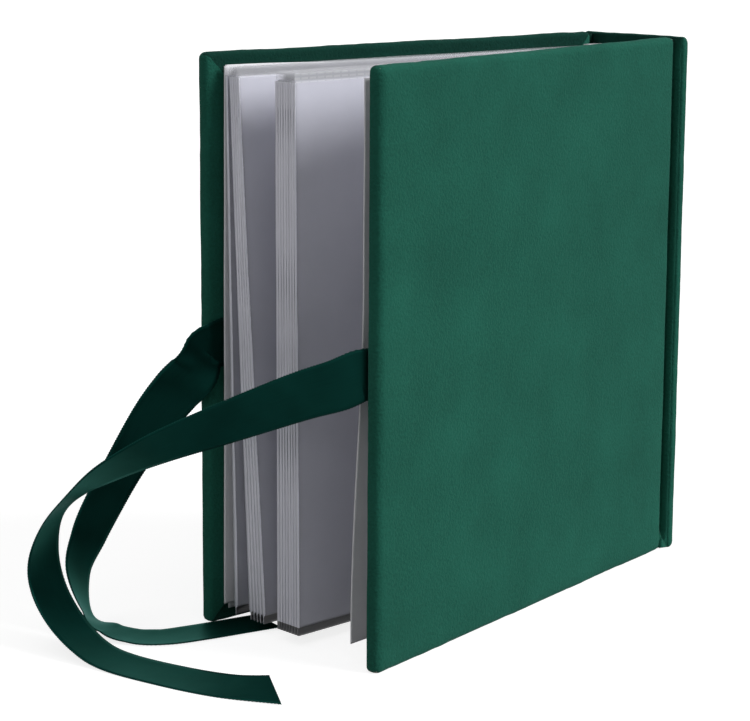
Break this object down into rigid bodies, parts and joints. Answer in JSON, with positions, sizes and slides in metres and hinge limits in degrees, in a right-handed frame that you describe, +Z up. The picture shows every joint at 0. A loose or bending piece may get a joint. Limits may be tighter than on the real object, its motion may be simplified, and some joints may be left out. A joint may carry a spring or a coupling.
{
  "type": "stamp album",
  "caption": "Square velvet-covered album standing open on its tail edge, with clear pocket leaves bound in a wide spine and a ribbon tie on each padded cover",
  "frame": {"origin": "on the surface it stands on, under the middle of its bounding box without the ribbons, in the rest pose", "axes": "+X from the fore-edge to the spine, +Y from the front cover to the back cover, +Z up, from the tail edge to the head edge"},
  "size_m": [0.3039, 0.1284, 0.23],
  "materials": {
    "velvet": "short-pile cotton velvet, matte with a soft sheen",
    "satin_ribbon": "woven satin, lustrous",
    "grey_board": "matte",
    "wadding": "soft white wadding, matte",
    "clear_film": "clear, semi-gloss",
    "leaf_card": "matte",
    "lining_paper": "matte"
  },
  "bodies": {
    "spine": {"spine_card": "grey_board", "spine_velvet": "velvet", "spine_lining": "lining_paper", "guard_strips": "grey_board", "leaf_tails": "clear_film"},
    "front_cover": {"front_board": "grey_board", "front_padding": "wadding", "front_velvet": "velvet", "front_pastedown": "lining_paper", "front_ribbon_tab": "satin_ribbon", "front_ribbon": "satin_ribbon"},
    "back_cover": {"back_board": "grey_board", "back_padding": "wadding", "back_velvet": "velvet", "back_pastedown": "lining_paper", "back_ribbon_tab": "satin_ribbon", "back_ribbon": "satin_ribbon"},
    "front_flyleaf": {"front_flyleaf": "lining_paper"},
    "back_flyleaf": {"back_flyleaf": "lining_paper"},
    "leaf_1": {"leaf_1_pocket": "clear_film", "leaf_1_card": "leaf_card"},
    "leaf_2": {"leaf_2_pocket": "clear_film", "leaf_2_card": "leaf_card"},
    "leaf_3": {"leaf_3_pocket": "clear_film", "leaf_3_card": "leaf_card"},
    "leaf_4": {"leaf_4_pocket": "clear_film", "leaf_4_card": "leaf_card"},
    "leaf_5": {"leaf_5_pocket": "clear_film", "leaf_5_card": "leaf_card"},
    "leaf_6": {"leaf_6_pocket": "clear_film", "leaf_6_card": "leaf_card"},
    "leaf_7": {"leaf_7_pocket": "clear_film", "leaf_7_card": "leaf_card"},
    "leaf_8": {"leaf_8_pocket": "clear_film", "leaf_8_card": "leaf_card"},
    "leaf_9": {"leaf_9_pocket": "clear_film", "leaf_9_card": "leaf_card"},
    "leaf_10": {"leaf_10_pocket": "clear_film", "leaf_10_card": "leaf_card"},
    "leaf_11": {"leaf_11_pocket": "clear_film", "leaf_11_card": "leaf_card"},
    "leaf_12": {"leaf_12_pocket": "clear_film", "leaf_12_card": "leaf_card"},
    "leaf_13": {"leaf_13_pocket": "clear_film", "leaf_13_card": "leaf_card"},
    "leaf_14": {"leaf_14_pocket": "clear_film", "leaf_14_card": "leaf_card"}
  },
  "joints": [
    {"name": "front_cover_hinge", "type": "hinge", "parent": "spine", "child": "front_cover", "pos_m": [0.1125, -0.0034, 0.115], "axis": [0, 0, 1], "range_deg": [-11.8, 78.2], "deforming": ["front_ribbon"]},
    {"name": "back_cover_hinge", "type": "hinge", "parent": "spine", "child": "back_cover", "pos_m": [0.1125, 0.0464, 0.115], "axis": [0, 0, -1], "range_deg": [0, 90], "deforming": ["back_ribbon"]},
    {"name": "front_flyleaf_hinge", "type": "hinge", "parent": "front_cover", "child": "front_flyleaf", "pos_m": [0.09641, -0.0017, 0.115], "axis": [0, 0, -1], "range_deg": [-1.5, 9.5]},
    {"name": "back_flyleaf_hinge", "type": "hinge", "parent": "back_cover", "child": "back_flyleaf", "pos_m": [0.0971, 0.04145, 0.115], "axis": [0, 0, 1], "range_deg": [0, 10.9]},
    {"name": "leaf_1_hinge", "type": "hinge", "parent": "spine", "child": "leaf_1", "pos_m": [0.1011, 0.0365, 0.115], "axis": [0, 0, -1], "range_deg": [0, 49.6]},
    {"name": "leaf_2_hinge", "type": "hinge", "parent": "spine", "child": "leaf_2", "pos_m": [0.1011, 0.0313, 0.115], "axis": [0, 0, -1], "range_deg": [0, 37.9]},
    {"name": "leaf_3_hinge", "type": "hinge", "parent": "spine", "child": "leaf_3", "pos_m": [0.1011, 0.0291, 0.115], "axis": [0, 0, -1], "range_deg": [0, 33.4]},
    {"name": "leaf_4_hinge", "type": "hinge", "parent": "spine", "child": "leaf_4", "pos_m": [0.1011, 0.0269, 0.115], "axis": [0, 0, -1], "range_deg": [0, 28.9]},
    {"name": "leaf_5_hinge", "type": "hinge", "parent": "spine", "child": "leaf_5", "pos_m": [0.1011, 0.0247, 0.115], "axis": [0, 0, -1], "range_deg": [0, 24.4]},
    {"name": "leaf_6_hinge", "type": "hinge", "parent": "spine", "child": "leaf_6", "pos_m": [0.1011, 0.0225, 0.115], "axis": [0, 0, -1], "range_deg": [0, 19.9]},
    {"name": "leaf_7_hinge", "type": "hinge", "parent": "spine", "child": "leaf_7", "pos_m": [0.1011, 0.0177, 0.115], "axis": [0, 0, 1], "range_deg": [-2.11, 13.39]},
    {"name": "leaf_8_hinge", "type": "hinge", "parent": "spine", "child": "leaf_8", "pos_m": [0.1011, 0.0156, 0.115], "axis": [0, 0, 1], "range_deg": [-2.2, 14.02]},
    {"name": "leaf_9_hinge", "type": "hinge", "parent": "spine", "child": "leaf_9", "pos_m": [0.1011, 0.0135, 0.115], "axis": [0, 0, 1], "range_deg": [-2.29, 14.65]},
    {"name": "leaf_10_hinge", "type": "hinge", "parent": "spine", "child": "leaf_10", "pos_m": [0.1011, 0.0114, 0.115], "axis": [0, 0, 1], "range_deg": [-2.39, 15.27]},
    {"name": "leaf_11_hinge", "type": "hinge", "parent": "spine", "child": "leaf_11", "pos_m": [0.1011, 0.0093, 0.115], "axis": [0, 0, 1], "range_deg": [-2.48, 15.9]},
    {"name": "leaf_12_hinge", "type": "hinge", "parent": "spine", "child": "leaf_12", "pos_m": [0.1011, 0.0072, 0.115], "axis": [0, 0, 1], "range_deg": [-2.58, 16.52]},
    {"name": "leaf_13_hinge", "type": "hinge", "parent": "spine", "child": "leaf_13", "pos_m": [0.1011, 0.0051, 0.115], "axis": [0, 0, 1], "range_deg": [-2.67, 17.15]},
    {"name": "leaf_14_hinge", "type": "hinge", "parent": "spine", "child": "leaf_14", "pos_m": [0.1011, 0.003, 0.115], "axis": [0, 0, 1], "range_deg": [-2.77, 17.77]}
  ],
  "couplings": [
    {"joint": "front_flyleaf_hinge", "follows": "front_cover_hinge", "ratio": 0.12},
    {"joint": "back_flyleaf_hinge", "follows": "back_cover_hinge", "ratio": 0.12},
    {"joint": "leaf_1_hinge", "follows": "back_cover_hinge", "ratio": 0.55},
    {"joint": "leaf_2_hinge", "follows": "back_cover_hinge", "ratio": 0.42},
    {"joint": "leaf_3_hinge", "follows": "back_cover_hinge", "ratio": 0.37},
    {"joint": "leaf_4_hinge", "follows": "back_cover_hinge", "ratio": 0.32},
    {"joint": "leaf_5_hinge", "follows": "back_cover_hinge", "ratio": 0.27},
    {"joint": "leaf_6_hinge", "follows": "back_cover_hinge", "ratio": 0.22},
    {"joint": "leaf_7_hinge", "follows": "front_cover_hinge", "ratio": 0.17},
    {"joint": "leaf_8_hinge", "follows": "front_cover_hinge", "ratio": 0.178},
    {"joint": "leaf_9_hinge", "follows": "front_cover_hinge", "ratio": 0.186},
    {"joint": "leaf_10_hinge", "follows": "front_cover_hinge", "ratio": 0.194},
    {"joint": "leaf_11_hinge", "follows": "front_cover_hinge", "ratio": 0.202},
    {"joint": "leaf_12_hinge", "follows": "front_cover_hinge", "ratio": 0.21},
    {"joint": "leaf_13_hinge", "follows": "front_cover_hinge", "ratio": 0.218},
    {"joint": "leaf_14_hinge", "follows": "front_cover_hinge", "ratio": 0.226}
  ]
}
